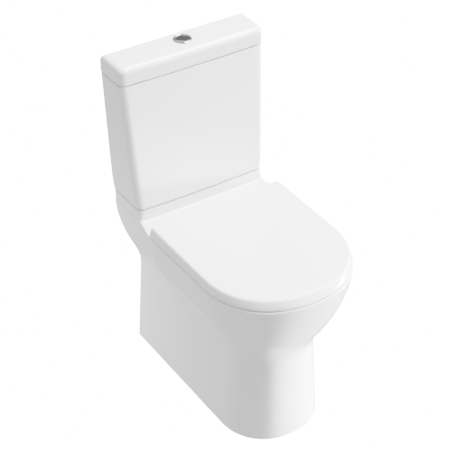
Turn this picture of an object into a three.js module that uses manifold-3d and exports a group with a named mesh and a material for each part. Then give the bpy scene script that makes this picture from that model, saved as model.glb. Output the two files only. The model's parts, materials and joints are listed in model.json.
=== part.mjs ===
// A close coupled toilet: a skirted washdown pan with a horizontal outlet, a tank with a dual flush
// button in its lid, and a wrap-over seat and cover on two concealed hinges.
// Millimetres. X is the width, -Y the front, +Z up. The origin is on the floor, in the middle of the
// object's length, so the wall stands at y = WALL and the front of the rim at y = -WALL.
import * as THREE from 'three';
import { ParametricGeometry } from 'three/addons/geometries/ParametricGeometry.js';
import { mergeVertices } from 'three/addons/utils/BufferGeometryUtils.js';
import Module from 'manifold-3d';

const wasm = await Module();
wasm.setup();

// ---------------------------------------------------------------- driving dimensions
const WALL = 295; // half of the length from the wall to the front of the rim
const RIM_TOP = 448; // china rim under the seat
const DECK_TOP = 477; // raised platform under the tank
const CHINA = 12; // wall thickness of the pan
const RIM = { halfWidth: 184.5, front: -WALL, bend: -112, squareness: 2.2 };
const FOOT = { halfWidth: 124.5, front: -223, bend: -98, squareness: 2.2, slope: 0.06 };
const MIDDLE = -105; // the plan outlines are drawn around this y
const BLEND = 20; // softness of the fold between bowl and foot
const TANK = {
  bottom: 478.5,
  top: 805.5,
  wall: 9,
  floor: 14,
  front: 173,
  lean: 29,
  halfWidth: 173,
  flare: 18,
};
const LID = { bottom: 806, top: 848, halfWidth: 192, front: 201 };
const VALVE_Y = 240; // flush valve, coupling bolts and fill valve stand on this line
const COUPLING_X = 72; // tank bolts at plus and minus this x
const FILL_X = 125; // fill valve, on the right seen from the front
const OUTLET = { z: 180, outer: 51, inner: 43, end: 262 };
const HINGE = { x: 78, y: 108, z: 462.5, pin: 4, boltY: 103 };
const SEAT = { bottom: 452, top: 468, inset: 8.6, front: 13 };
const COVER = { bottom: 449.6, top: 474.7, crown: 3, skin: 4.5, back: 113 };
const CLEAR = 0.3; // gap between touching pieces

// ---------------------------------------------------------------- materials
const finish = (color, roughness, metalness = 0) =>
  new THREE.MeshStandardMaterial({ color, roughness, metalness });
const china = finish(0xf1f1ef, 0.12);
const duroplast = finish(0xf4f4f3, 0.22);
const chrome = finish(0xc9cbcd, 0.12, 1);
const steel = finish(0xb4b6b8, 0.35, 1);
const brass = finish(0xb99a4c, 0.35, 1);
const whitePlastic = finish(0xe4e6e8, 0.4);
const greyPlastic = finish(0x8d9499, 0.45);
const bluePlastic = finish(0x2d6fa8, 0.4);
const blackRubber = finish(0x26272a, 0.8);
const whiteRubber = finish(0xdedfdc, 0.7);

// ---------------------------------------------------------------- solids
// A closed geometry as a manifold-3d solid with its faces pointing out.
function toSolid(geometry) {
  const bare = new THREE.BufferGeometry();
  bare.setAttribute('position', geometry.getAttribute('position').clone());
  if (geometry.index) bare.setIndex(geometry.index.clone());
  const merged = mergeVertices(bare, 1e-3);
  const build = (flip) => {
    const corners = [];
    const index = merged.index.array;
    for (let i = 0; i < index.length; i += 3) {
      const [a, b, c] = [index[i], index[i + (flip ? 2 : 1)], index[i + (flip ? 1 : 2)]];
      if (a !== b && b !== c && c !== a) corners.push(a, b, c);
    }
    const vertProperties = merged.attributes.position.array;
    const triVerts = new Uint32Array(corners);
    return new wasm.Manifold(new wasm.Mesh({ numProp: 3, vertProperties, triVerts }));
  };
  const made = build(false);
  return made.volume() < 0 ? build(true) : made;
}

function toGeometry(solid) {
  const mesh = solid.getMesh();
  const geometry = new THREE.BufferGeometry();
  const positions = new Float32Array(mesh.vertProperties);
  geometry.setAttribute('position', new THREE.BufferAttribute(positions, 3));
  geometry.setIndex(new THREE.BufferAttribute(new Uint32Array(mesh.triVerts), 1));
  geometry.computeVertexNormals();
  return geometry;
}

// A closed surface through rings of points, all with the same number, capped at both ends.
function loft(rings) {
  const middle = (ring) => {
    const sum = new THREE.Vector3();
    for (const p of ring) sum.add(p);
    return sum.divideScalar(ring.length);
  };
  const rows = [[middle(rings[0])], ...rings, [middle(rings[rings.length - 1])]];
  const around = rings[0].length;
  const at = (u, v, target) => {
    const row = rows[Math.round(v * (rows.length - 1))];
    target.copy(row[Math.round(u * around) % around % row.length]);
  };
  return toSolid(new ParametricGeometry(at, around, rows.length - 1));
}

const level = (outline, z) => outline.map((p) => new THREE.Vector3(p.x, p.y, z));
const moved = (geometry, x, y, z) => geometry.translate(x, y, z);
function block(x0, x1, y0, y1, z0, z1) {
  const box = new THREE.BoxGeometry(x1 - x0, y1 - y0, z1 - z0);
  return toSolid(moved(box, (x0 + x1) / 2, (y0 + y1) / 2, (z0 + z1) / 2));
}

// A solid turned about a vertical line from [radius, z] pairs.
function turned(profile, x = 0, y = 0, segments = 16) {
  const points = profile.map(([radius, z]) => new THREE.Vector2(radius, z));
  return toSolid(moved(new THREE.LatheGeometry(points, segments).rotateX(Math.PI / 2), x, y, 0));
}
const rod = (radius, z0, z1, x, y, segments = 16) =>
  turned([[0, z0], [radius, z0], [radius, z1], [0, z1]], x, y, segments);
// The bore's flats stay outside its radius, so that a rounder piece fits in it.
function tube(outer, bore, z0, z1, x, y, segments = 16) {
  const inner = bore / Math.cos(Math.PI / segments);
  return turned([[inner, z0], [outer, z0], [outer, z1], [inner, z1], [inner, z0]], x, y, segments);
}

// A cylinder along X.
function crossRod(radius, x0, x1, y, z, segments = 16) {
  const cylinder = new THREE.CylinderGeometry(radius, radius, x1 - x0, segments);
  return toSolid(moved(cylinder.rotateZ(Math.PI / 2), (x0 + x1) / 2, y, z));
}

// A round section swept along a smooth line through the points.
function pipe(points, radius, steps = 16, sides = 12) {
  const nodes = points.map((p) => new THREE.Vector3(...p));
  const extrudePath = new THREE.CatmullRomCurve3(nodes, false, 'centripetal');
  const section = new THREE.Shape().absarc(0, 0, radius, 0, Math.PI * 2);
  const options = { steps, extrudePath, bevelEnabled: false, curveSegments: sides / 2 };
  return toSolid(new THREE.ExtrudeGeometry(section, options));
}

const toilet = new THREE.Group();
const add = (name, solid, material) => {
  const mesh = new THREE.Mesh(toGeometry(solid), material);
  mesh.name = name;
  toilet.add(mesh);
};
const sides = [['left', -1], ['right', 1]];

// ---------------------------------------------------------------- the pan's outer form
const clamp = (t, low = 0, high = 1) => Math.min(high, Math.max(low, t));
const ease = (from, to, t) => {
  const s = clamp((t - from) / (to - from));
  return s * s * (3 - 2 * s);
};

// How far a point lies outside a plan outline: straight behind the bend, a superellipse in front of it.
function outside(x, y, { halfWidth, front, bend, waist, squareness }) {
  const across = Math.abs(x);
  if (y > bend) return across - halfWidth + waist * ease(105, 180, y);
  const n = squareness;
  return (((across / halfWidth) ** n + ((bend - y) / (bend - front)) ** n) ** (1 / n) - 1) * halfWidth;
}

// The bowl narrows as it goes down, slowly at first.
function bowlAt(z) {
  const drop = clamp((RIM_TOP - z) / 200, 0, 1.3) ** 1.7;
  return { ...RIM, halfWidth: RIM.halfWidth - 70 * drop, front: RIM.front + 82 * drop, waist: 12 };
}

// The foot widens gently towards the floor.
function footAt(z) {
  const slope = FOOT.slope * z;
  return { ...FOOT, halfWidth: FOOT.halfWidth - slope, front: FOOT.front + slope, waist: 0 };
}

// Bowl and foot joined with a soft fold.
function formOutside(x, y, z) {
  const a = outside(x, y, bowlAt(z));
  const b = outside(x, y, footAt(z));
  const near = Math.max(BLEND - Math.abs(a - b), 0) / BLEND;
  return Math.min(a, b) - (near * near * BLEND) / 4;
}

// How far from (0, y) the form reaches in a direction.
function reachOf(y, angle, z, inset) {
  let near = 10;
  let far = 400;
  for (let i = 0; i < 40; i += 1) {
    const r = (near + far) / 2;
    if (formOutside(r * Math.cos(angle), y + r * Math.sin(angle), z) + inset > 0) far = r;
    else near = r;
  }
  return near;
}

// The form's outline at a height, moved in by an inset and flat at the wall.
function formRing(z, inset = 0) {
  const half = [];
  for (let degrees = -90; degrees < -1; degrees += 12.857) {
    const angle = THREE.MathUtils.degToRad(degrees);
    const r = reachOf(MIDDLE, angle, z, inset);
    half.push([r * Math.cos(angle), MIDDLE + r * Math.sin(angle)]);
  }
  const back = WALL - inset;
  for (const y of [-80, 20, 105, 130, 155, 180, back - 3]) half.push([reachOf(y, 0, z, inset), y]);
  half.push([reachOf(back, 0, z, inset) - 3, back]);
  const mirror = half.slice(1).map(([x, y]) => [-x, y]).reverse();
  return [...half, ...mirror].map(([x, y]) => new THREE.Vector3(x, y, z));
}

// ---------------------------------------------------------------- the basin, trap and flush duct
// The basin's opening is egg shaped; lower down it shrinks towards the sump at the back.
const BASIN = { halfWidth: 122, front: -252, back: 62, middle: -95, sumpY: -49 };
const BASIN_LEVELS = [
  [470, 1],
  [420, 1],
  [385, 0.96],
  [350, 0.87],
  [315, 0.75],
  [280, 0.61],
  [245, 0.47],
  [210, 0.36],
  [186, 0.25],
];

function basinRing(z, share, grow) {
  const points = [];
  const middle = THREE.MathUtils.lerp(BASIN.sumpY, BASIN.middle, share);
  for (let i = 0; i < 20; i += 1) {
    const angle = (i / 20) * Math.PI * 2;
    const reach = Math.sin(angle) < 0 ? BASIN.middle - BASIN.front : BASIN.back - BASIN.middle;
    const x = (BASIN.halfWidth * share + grow) * Math.cos(angle);
    const y = middle + (reach * share + grow) * Math.sin(angle);
    points.push(new THREE.Vector3(x, y, z - grow));
  }
  return points;
}
const basin = (grow) => loft(BASIN_LEVELS.map(([z, share]) => basinRing(z, share, grow)));

const TRAP_LINE = new THREE.Path()
  .moveTo(-60, 214)
  .lineTo(-60, 183)
  .absarc(-10, 182, 50, Math.PI, (Math.PI * 11) / 6, false)
  .absarc(126, 204, 50, (Math.PI * 5) / 6, Math.PI / 6, true)
  .absarc(228, 230, 50, (Math.PI * 7) / 6, Math.PI * 1.5, false)
  .getSpacedPoints(20)
  .map((p) => [0, p.x, p.y]);
const DUCT_LINE = [[0, VALVE_Y, 450], [0, 232, 426], [0, 190, 410], [0, 120, 406], [0, 20, 406]];
const outletTube = (radius, from, to) =>
  toSolid(moved(new THREE.CylinderGeometry(radius, radius, to - from, 16), 0, (from + to) / 2, OUTLET.z));

// ---------------------------------------------------------------- plan of the tank, shared by its platform
// A plan with a bowed front, rounded front corners and small back corners.
function tankPlan(halfWidth, front, back, inset = 0, round = 18, bow = 2.5) {
  const w = halfWidth - inset;
  const f = front + inset;
  const b = back - inset;
  const r = Math.max(round - inset, 6);
  const small = Math.max(4 - inset / 2, 2);
  const shape = new THREE.Shape()
    .moveTo(w, f + r)
    .lineTo(w, b - small)
    .absarc(w - small, b - small, small, 0, Math.PI / 2)
    .lineTo(-w + small, b)
    .absarc(-w + small, b - small, small, Math.PI / 2, Math.PI)
    .lineTo(-w, f + r)
    .absarc(-w + r, f + r, r, Math.PI, Math.PI * 1.5)
    .quadraticCurveTo(0, f - 2 * bow, w - r, f)
    .absarc(w - r, f + r, r, Math.PI * 1.5, Math.PI * 2);
  const points = shape.getPoints(4);
  return points.filter((p, i) => i === 0 || p.distanceTo(points[i - 1]) > 0.01).slice(0, -1);
}

// The open back, where the soil pipe and the supply hose pass.
function backWindow() {
  const half = 92;
  const top = 420;
  const round = 30;
  const opening = new THREE.Shape()
    .moveTo(-half, -20)
    .lineTo(half, -20)
    .lineTo(half, 300)
    .lineTo(half + 28, 350)
    .lineTo(half + 28, top - round)
    .absarc(half + 28 - round, top - round, round, 0, Math.PI / 2)
    .lineTo(-half - 28 + round, top)
    .absarc(-half - 28 + round, top - round, round, Math.PI / 2, Math.PI)
    .lineTo(-half - 28, 350)
    .lineTo(-half, 300)
    .lineTo(-half, -20);
  const geometry = new THREE.ExtrudeGeometry(opening, { depth: 80, bevelEnabled: false, curveSegments: 3 });
  return toSolid(moved(geometry.rotateX(Math.PI / 2), 0, 340, 0));
}

// ---------------------------------------------------------------- the pan
const DECK_UNDER = DECK_TOP - 15;
const RIM_UNDER = RIM_TOP - 14;
const LUG = { x: 90, y: 236, top: 24 };

// The pan is one casting. It is made as a shell, a platform for the tank, a basin, a trapway and a
// flush duct, a hair apart, so that each hollow has walls of its own.
const PLATFORM_BASE = RIM_TOP + CLEAR;
const INLET = { bore: 27, boss: 52, neck: 42 };
const inside = {
  basin: basin(CHINA),
  basinRoom: basin(CHINA + CLEAR).intersect(block(-300, 300, -400, 400, 0, RIM_UNDER)),
  bowl: basin(0),
  trap: pipe(TRAP_LINE, 48, 16),
  trapBore: pipe(TRAP_LINE, 38, 16),
  duct: pipe(DUCT_LINE, 31, 8),
  ductBore: pipe(DUCT_LINE, 21, 8).add(rod(INLET.bore, 444, 480, 0, VALVE_Y)),
  underPlatform: block(-158, 158, 194, WALL - CHINA, RIM_UNDER - 4, DECK_UNDER),
};

function makeShell() {
  const heights = [0, 90, 180, 225, 245, 270, 305, 345, 390, RIM_TOP - 4];
  const sidesOf = heights.map((z) => formRing(z));
  const body = loft([...sidesOf, formRing(RIM_TOP - 1.2, 0.8), formRing(RIM_TOP, 3)]);
  const flank = loft([430, RIM_TOP].map((z) => formRing(z)));
  const outer = body.add(flank.intersect(block(-300, 300, 172, WALL, 430, RIM_TOP)));
  const hollowHeights = [-20, 90, 180, 225, 245, 270, 305, 345, RIM_UNDER];
  const hollow = loft(hollowHeights.map((z) => formRing(z, CHINA)));
  let shell = outer.subtract(hollow).subtract(inside.underPlatform);
  for (const [, s] of sides) {
    const lugX = [s * LUG.x - s * 16, s * LUG.x + s * 24].sort((a, b) => a - b);
    shell = shell.add(block(...lugX, LUG.y - 20, LUG.y + 20, 0, LUG.top).intersect(outer));
  }
  shell = shell.subtract(backWindow()).subtract(inside.bowl).subtract(inside.basinRoom);
  for (const [, s] of sides) {
    shell = shell.subtract(rod(6, 400, 500, s * HINGE.x, HINGE.boltY, 12));
    shell = shell.subtract(rod(6.5, -10, 40, s * LUG.x, LUG.y, 12));
  }
  const pieces = shell.decompose().sort((a, b) => b.volume() - a.volume());
  return pieces[0];
}

function makePlatform() {
  const fillet = [
    [PLATFORM_BASE, -5],
    [RIM_TOP + 2, -2.4],
    [RIM_TOP + 4, -0.8],
    [RIM_TOP + 8, 0],
    [DECK_TOP, 0.4],
  ];
  const plans = fillet.map(([z, inset]) => level(tankPlan(TANK.halfWidth, TANK.front, WALL, inset), z));
  const flank = loft([430, 500].map((z) => formRing(z)));
  const boss = rod(INLET.boss, RIM_TOP - 20, DECK_TOP - 5, 0, VALVE_Y);
  let platform = loft(plans).intersect(flank).subtract(inside.underPlatform.subtract(boss));
  platform = platform.subtract(rod(44, DECK_TOP - 14, 500, 0, VALVE_Y)); // recess for the doughnut gasket
  platform = platform.subtract(inside.ductBore);
  platform = platform.subtract(rod(19, 420, 500, FILL_X, VALVE_Y, 12)); // clearance for the supply shank
  for (const [, s] of sides) {
    platform = platform.subtract(rod(6, 420, 500, s * COUPLING_X, VALVE_Y, 12));
  }
  return platform;
}

add('pan', makeShell(), china);
add('pan_platform', makePlatform(), china);

const underRim = block(-300, 300, -400, 400, 0, RIM_UNDER - CLEAR);
const basinWall = inside.basin.intersect(underRim).subtract(inside.bowl);
add('pan_basin', basinWall.subtract(inside.trapBore).subtract(inside.ductBore), china);

const trapWall = inside.trap.add(outletTube(OUTLET.outer, 200, OUTLET.end)).subtract(inside.basinRoom);
add('pan_trapway', trapWall.subtract(inside.trapBore).subtract(outletTube(OUTLET.inner, 216, 300)), china);

const ductWall = inside.duct.intersect(underRim).add(rod(INLET.neck, 424, RIM_TOP, 0, VALVE_Y));
add('pan_flush_duct', ductWall.subtract(inside.basinRoom).subtract(inside.ductBore), china);

// ---------------------------------------------------------------- the tank and its lid
// The tank widens upwards, and its front leans back.
function tankAt(z) {
  const up = clamp((z - TANK.bottom) / (TANK.top - TANK.bottom));
  const tuck = 3.5 * (1 - Math.exp(-(z - TANK.bottom) / 22));
  return { halfWidth: TANK.halfWidth + (TANK.flare - 3.5) * up + tuck, front: TANK.front + TANK.lean * up };
}
function tankRing(z, inset) {
  const { halfWidth, front } = tankAt(z);
  return level(tankPlan(halfWidth, front, WALL, inset), z);
}

function makeTank() {
  const outer = loft([TANK.bottom, 488, 502, 525, 590, 700, TANK.top].map((z) => tankRing(z, 0)));
  const innerHeights = [TANK.bottom + TANK.floor, 525, 590, 700, TANK.top, 860];
  const inner = loft(innerHeights.map((z) => tankRing(z, TANK.wall)));
  let tank = outer.subtract(inner).subtract(rod(26.5, 460, 520, 0, VALVE_Y));
  tank = tank.subtract(rod(11.5, 460, 520, FILL_X, VALVE_Y, 12));
  for (const [, s] of sides) tank = tank.subtract(rod(5.5, 460, 520, s * COUPLING_X, VALVE_Y, 12));
  return tank;
}
add('tank', makeTank(), china);

const BUTTON = {
  y: 251,
  hole: 20.5,
  sleeve: 18.8,
  bore: 17.6,
  flange: 23,
  underside: LID.top - 17,
};

function makeTankLid() {
  const ring = (z, inset) => level(tankPlan(LID.halfWidth, LID.front, WALL, inset), z);
  const outer = loft([
    ring(LID.bottom, 1),
    ring(LID.bottom + 3, 0),
    ring(LID.top - 15, 0),
    ring(LID.top - 7, 2.2),
    ring(LID.top - 2.4, 7),
    ring(LID.top, 15),
  ]);
  const pocket = loft([ring(700, 18), ring(BUTTON.underside, 18)]);
  const lip = loft([ring(LID.bottom - 7, 13.5), ring(LID.bottom + 8, 13.5)]);
  return outer.add(lip).subtract(pocket).subtract(rod(BUTTON.hole, 790, 860, 0, BUTTON.y));
}
add('tank_lid', makeTankLid(), china);

// ---------------------------------------------------------------- what joins tank and pan
const FLOOR_TOP = TANK.bottom + TANK.floor;
const RECESS = DECK_TOP - 14;
const gasketProfile = [
  [34.5, RECESS + CLEAR],
  [42.5, RECESS + CLEAR],
  [42.5, DECK_TOP - 5],
  [39, TANK.bottom - 0.4],
  [35.5, TANK.bottom - 0.4],
  [34.5, RECESS + CLEAR],
];
const gasket = turned(gasketProfile, 0, VALVE_Y);
add('coupling_gasket', gasket, blackRubber);

function wingNut(x, y, top, hole) {
  const wings = block(x - 17, x + 17, y - 1.6, y + 1.6, top - 15, top - 3);
  const nut = rod(8, top - 10, top, x, y, 12).add(wings);
  return nut.subtract(rod(hole + CLEAR, top - 20, top + 5, x, y, 12));
}
for (const [side, s] of sides) {
  const x = s * COUPLING_X;
  const head = rod(9, FLOOR_TOP + 4.6, FLOOR_TOP + 10, x, VALVE_Y, 6);
  const bolt = rod(4, 436, FLOOR_TOP + 6, x, VALVE_Y, 12).add(head);
  const seal = tube(12, 4.3, FLOOR_TOP + CLEAR, FLOOR_TOP + 4.3, x, VALVE_Y, 12);
  const washer = tube(13, 4.3, DECK_UNDER - 3.3, DECK_UNDER - CLEAR, x, VALVE_Y, 12);
  add(`coupling_bolt_${side}`, bolt, brass);
  add(`coupling_seal_${side}`, seal, blackRubber);
  add(`coupling_washer_${side}`, washer, blackRubber);
  add(`coupling_nut_${side}`, wingNut(x, VALVE_Y, DECK_UNDER - 3.6, 4), brass);
  const padX = [s * 156 - 7, s * 156 + 7];
  const tankPad = block(...padX, 205, 280, DECK_TOP + 0.2, TANK.bottom - 0.3);
  add(`tank_pad_${side}`, tankPad, whiteRubber);
}

// ---------------------------------------------------------------- flush valve
const SEAT_LIP = FLOOR_TOP + 13;
const valveSeatProfile = [
  [20, 455],
  [24.5, 455],
  [24.5, FLOOR_TOP + 0.4],
  [36, FLOOR_TOP + 0.4],
  [36, FLOOR_TOP + 5],
  [25, FLOOR_TOP + 6],
  [23, SEAT_LIP],
  [20, SEAT_LIP],
  [20, 455],
];
add('flush_valve_seat', turned(valveSeatProfile, 0, VALVE_Y), whitePlastic);
const valveNut = tube(33.5, 25, RECESS + 2, TANK.bottom - 0.4, 0, VALVE_Y, 12);
add('flush_valve_nut', valveNut, whitePlastic);

const CAGE = {
  bottom: FLOOR_TOP + 6.6,
  windowTop: 600,
  neck: 622,
  top: 752,
  outer: 31,
  inner: 29,
};
const RODS = [['full', -7], ['half', 11]];
const ROD_Y = BUTTON.y - 4;
function makeCage() {
  const profile = [
    [CAGE.inner, CAGE.bottom],
    [CAGE.outer, CAGE.bottom],
    [CAGE.outer, 612],
    [21, CAGE.neck],
    [21, CAGE.top],
    [0, CAGE.top],
    [0, CAGE.top - 8],
    [18.5, CAGE.top - 8],
    [18.5, CAGE.neck - 2],
    [CAGE.inner, 606],
    [CAGE.inner, CAGE.bottom],
  ];
  const windows = [CAGE.bottom + 6, CAGE.windowTop];
  let cage = turned(profile, 0, VALVE_Y);
  cage = cage.subtract(block(-40, 40, VALVE_Y - 12, VALVE_Y + 12, ...windows));
  cage = cage.subtract(block(-12, 12, VALVE_Y - 40, VALVE_Y + 40, ...windows));
  for (const [, x] of RODS) cage = cage.subtract(rod(3, CAGE.top - 20, CAGE.top + 8, x, ROD_Y, 8));
  return cage;
}
add('flush_valve_cage', makeCage(), whitePlastic);

const spindleProfile = [
  [10.5, SEAT_LIP + 4],
  [13, SEAT_LIP + 4],
  [13, SEAT_LIP + 8],
  [26.5, SEAT_LIP + 8],
  [26.5, SEAT_LIP + 11],
  [13, SEAT_LIP + 12],
  [13, 705],
  [10.5, 705],
  [10.5, SEAT_LIP + 4],
];
add('flush_valve_spindle', turned(spindleProfile, 0, VALVE_Y), bluePlastic);
const valveSeal = tube(26.5, 13.3, SEAT_LIP + CLEAR, SEAT_LIP + 7.6, 0, VALVE_Y);
add('flush_valve_seal', valveSeal, blackRubber);

// ---------------------------------------------------------------- flush buttons, set in the lid
const BEZEL_FLOOR = BUTTON.underside - 12;
const bezelProfile = [
  [BUTTON.bore, BEZEL_FLOOR],
  [BUTTON.sleeve, BEZEL_FLOOR],
  [BUTTON.sleeve, LID.top + CLEAR],
  [BUTTON.flange, LID.top + CLEAR],
  [BUTTON.flange - 0.6, LID.top + 2.6],
  [BUTTON.flange - 3, LID.top + 3.4],
  [BUTTON.bore, LID.top + 2.2],
  [BUTTON.bore, BEZEL_FLOOR],
];
let bezel = turned(bezelProfile, 0, BUTTON.y, 24);
bezel = bezel.add(rod(BUTTON.sleeve, BEZEL_FLOOR - 4, BEZEL_FLOOR, 0, BUTTON.y, 24));
for (const [, x] of RODS) {
  bezel = bezel.subtract(rod(2.8, BEZEL_FLOOR - 20, BEZEL_FLOOR + 8, x, ROD_Y, 8));
}
add('button_bezel', bezel, chrome);
const nutHeights = [BUTTON.underside - 10, BUTTON.underside - 0.4];
add('bezel_nut', tube(24, BUTTON.sleeve + 0.4, ...nutHeights, 0, BUTTON.y, 12), whitePlastic);

// Both buttons are parts of one shallow dish, split at the same x.
const SPLIT = 4;
const dishProfile = [
  [0, LID.top - 7],
  [17.2, LID.top - 7],
  [17.2, LID.top + 1.4],
  [11, LID.top - 0.2],
  [5, LID.top - 0.9],
  [0, LID.top - 1],
];
const dish = turned(dishProfile, 0, BUTTON.y, 24);
add('full_flush_button', dish.intersect(block(-30, SPLIT - 0.35, 200, 300, 830, 860)), chrome);
add('half_flush_button', dish.intersect(block(SPLIT + 0.35, 30, 200, 300, 830, 860)), chrome);
const SPRING = { bottom: BEZEL_FLOOR + 1.2, top: LID.top - 8.2, radius: 4.2, turns: 3 };
for (const [name, x] of RODS) {
  add(`${name}_push_rod`, rod(2.3, CAGE.top - 14, LID.top - 7.4, x, ROD_Y, 8), greyPlastic);
  const coil = [];
  for (let i = 0; i <= 24; i += 1) {
    const angle = (i / 24) * Math.PI * 2 * SPRING.turns;
    const rise = SPRING.bottom + ((SPRING.top - SPRING.bottom) * i) / 24;
    coil.push([x + SPRING.radius * Math.cos(angle), ROD_Y + SPRING.radius * Math.sin(angle), rise]);
  }
  add(`${name}_return_spring`, pipe(coil, 0.6, 24, 4), steel);
}

// ---------------------------------------------------------------- fill valve
const FILL = { top: 700, headTop: 728, floatBottom: 605, floatTop: 668, leverZ: 736 };
const stemProfile = [
  [6, 440],
  [10, 440],
  [10, FLOOR_TOP + 4.6],
  [17, FLOOR_TOP + 4.6],
  [17, FLOOR_TOP + 9],
  [11, FLOOR_TOP + 9],
  [11, FILL.top],
  [6, FILL.top],
  [6, 440],
];
add('fill_valve_stem', turned(stemProfile, FILL_X, VALVE_Y), whitePlastic);
const stemSeal = tube(16.5, 10.3, FLOOR_TOP + CLEAR, FLOOR_TOP + 4.3, FILL_X, VALVE_Y);
add('fill_valve_seal', stemSeal, blackRubber);
const stemNut = tube(17, 10.3, DECK_TOP - 12, TANK.bottom - 0.4, FILL_X, VALVE_Y, 6);
add('fill_valve_nut', stemNut, whitePlastic);

// The lever turns on a pin between two cheeks on the valve's head.
const LEVER = { x: FILL_X - 10, linkX: FILL_X + 24, y: VALVE_Y, z: FILL.leverZ };
function alongY(radius, length, x, z) {
  const cylinder = new THREE.CylinderGeometry(radius, radius, length, 12);
  return toSolid(moved(cylinder, x, LEVER.y, z));
}
const headProfile = [
  [0, FILL.top + 6],
  [11.4, FILL.top + CLEAR],
  [20, FILL.top + CLEAR],
  [20, FILL.headTop - 4],
  [15, FILL.headTop],
  [0, FILL.headTop],
];
const cheek = (y0, y1) => block(LEVER.x - 4, LEVER.x + 4, y0, y1, FILL.headTop - 3, LEVER.z + 6);
const clevis = cheek(LEVER.y - 7, LEVER.y - 3.6).add(cheek(LEVER.y + 3.6, LEVER.y + 7));
const valveHead = turned(headProfile, FILL_X, VALVE_Y).add(clevis);
add('fill_valve_head', valveHead.add(alongY(1.6, 12, LEVER.x, LEVER.z)), whitePlastic);
const armX = [LEVER.x + 2, LEVER.linkX + 4];
const arm = block(...armX, LEVER.y - 3, LEVER.y + 3, LEVER.z - 1.5, LEVER.z + 1.5);
const lever = alongY(4.2, 6.4, LEVER.x, LEVER.z).add(arm);
add('float_lever', lever.subtract(alongY(1.95, 20, LEVER.x, LEVER.z)), greyPlastic);
const cupProfile = [
  [12, FILL.floatBottom],
  [13.5, FILL.floatBottom],
  [13.5, FILL.floatTop - 2],
  [25.5, FILL.floatTop - 2],
  [25.5, FILL.floatBottom],
  [27, FILL.floatBottom],
  [27, FILL.floatTop - 4],
  [24, FILL.floatTop],
  [12, FILL.floatTop],
  [12, FILL.floatBottom],
];
add('float_cup', turned(cupProfile, FILL_X, VALVE_Y), greyPlastic);
const linkHeights = [FILL.floatTop + CLEAR, LEVER.z - 2.3];
add('float_link', rod(1.8, ...linkHeights, LEVER.linkX, LEVER.y, 8), greyPlastic);

// ---------------------------------------------------------------- seat and cover
// The cover's outline follows the rim's. An inset moves it in, nearly twice as far at the front.
function seatPlan(inset, back, frontInset = inset) {
  const w = RIM.halfWidth - inset;
  const f = RIM.front + frontInset;
  const n = 2 / RIM.squareness;
  const points = [new THREE.Vector2(w, back), new THREE.Vector2(w, (back + RIM.bend) / 2)];
  for (let i = 0; i <= 16; i += 1) {
    const angle = (i / 16) * Math.PI;
    const c = Math.cos(angle);
    const x = w * Math.sign(c) * Math.abs(c) ** n;
    points.push(new THREE.Vector2(x, RIM.bend + (f - RIM.bend) * Math.sin(angle) ** n));
  }
  points.push(new THREE.Vector2(-w, (back + RIM.bend) / 2));
  points.push(new THREE.Vector2(-w, back), new THREE.Vector2(0, back));
  return points;
}
const seatRing = (z, inset, back, frontInset) => level(seatPlan(inset, back, frontInset), z);

const POST = { halfWidth: 6, notch: 16 };
const HOLE = { halfWidth: 102, middle: -98, front: 128, back: 142 };

// The ring's opening, egg shaped like the basin's.
function seatHole(grow) {
  const points = [];
  for (let i = 0; i < 24; i += 1) {
    const angle = (i / 24) * Math.PI * 2;
    const reach = (Math.sin(angle) < 0 ? HOLE.front : HOLE.back) + grow;
    const x = (HOLE.halfWidth + grow) * Math.cos(angle);
    points.push(new THREE.Vector2(x, HOLE.middle + reach * Math.sin(angle)));
  }
  return points;
}

function makeSeatRing() {
  const { bottom, top, inset, front } = SEAT;
  const outer = loft([
    seatRing(bottom, inset + 1, COVER.back, front + 1),
    seatRing(bottom + 3, inset, COVER.back, front),
    seatRing(top - 6, inset + 1, COVER.back, front + 1.5),
    seatRing(top - 1.5, inset + 4, COVER.back - 1, front + 5),
    seatRing(top, inset + 9, COVER.back - 3, front + 10),
  ]);
  const profile = [
    [bottom - 1, 3],
    [bottom + 4, 0],
    [top - 7, 0],
    [top - 1.5, 4],
    [top + 1, 12],
  ];
  let ring = outer.subtract(loft(profile.map(([z, grow]) => level(seatHole(grow), z))));
  for (const [side, s] of sides) {
    const mid = s * HINGE.x;
    ring = ring.subtract(block(mid - POST.notch, mid + POST.notch, HINGE.y - 18, 140, 440, 490));
    ring = ring.subtract(crossRod(HINGE.pin + CLEAR, mid - 34, mid + 34, HINGE.y, HINGE.z));
  }
  return ring;
}
add('seat_ring', makeSeatRing(), duroplast);

function makeSeatCover() {
  const { bottom, top, crown, skin, back } = COVER;
  const outer = loft([
    seatRing(bottom, 1.9, back, 2.2),
    seatRing(bottom + 2, 1.3, back, 1.6),
    seatRing(top - 8, 4, back, 7),
    seatRing(top - 3, 6, back, 10),
    seatRing(top - 0.6, 9, back - 1, 13.5),
    seatRing(top, 13, back - 4, 18),
    seatRing(top + 0.6 * crown, 60, 60, 66),
    seatRing(top + crown, 130, 0, 130),
  ]);
  const inner = loft([
    seatRing(bottom - 5, 5.4, 140, 5.8),
    seatRing(top - 9, 7.6, 140, 10.6),
    seatRing(top - skin, 8.2, 140, 17),
  ]);
  let cover = outer.subtract(inner);
  for (const [, s] of sides) {
    const earX = [s * HINGE.x - s * 7.5, s * HINGE.x - s * 14.5].sort((a, b) => a - b);
    const ear = block(...earX, HINGE.y - 5, HINGE.y + 5, HINGE.z, top - 2);
    const knuckle = crossRod(7, ...earX, HINGE.y, HINGE.z);
    const bore = crossRod(HINGE.pin + CLEAR, earX[0] - 1, earX[1] + 1, HINGE.y, HINGE.z);
    cover = cover.add(ear).add(knuckle).subtract(bore);
  }
  return cover;
}
add('seat_cover', makeSeatCover(), duroplast);

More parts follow.
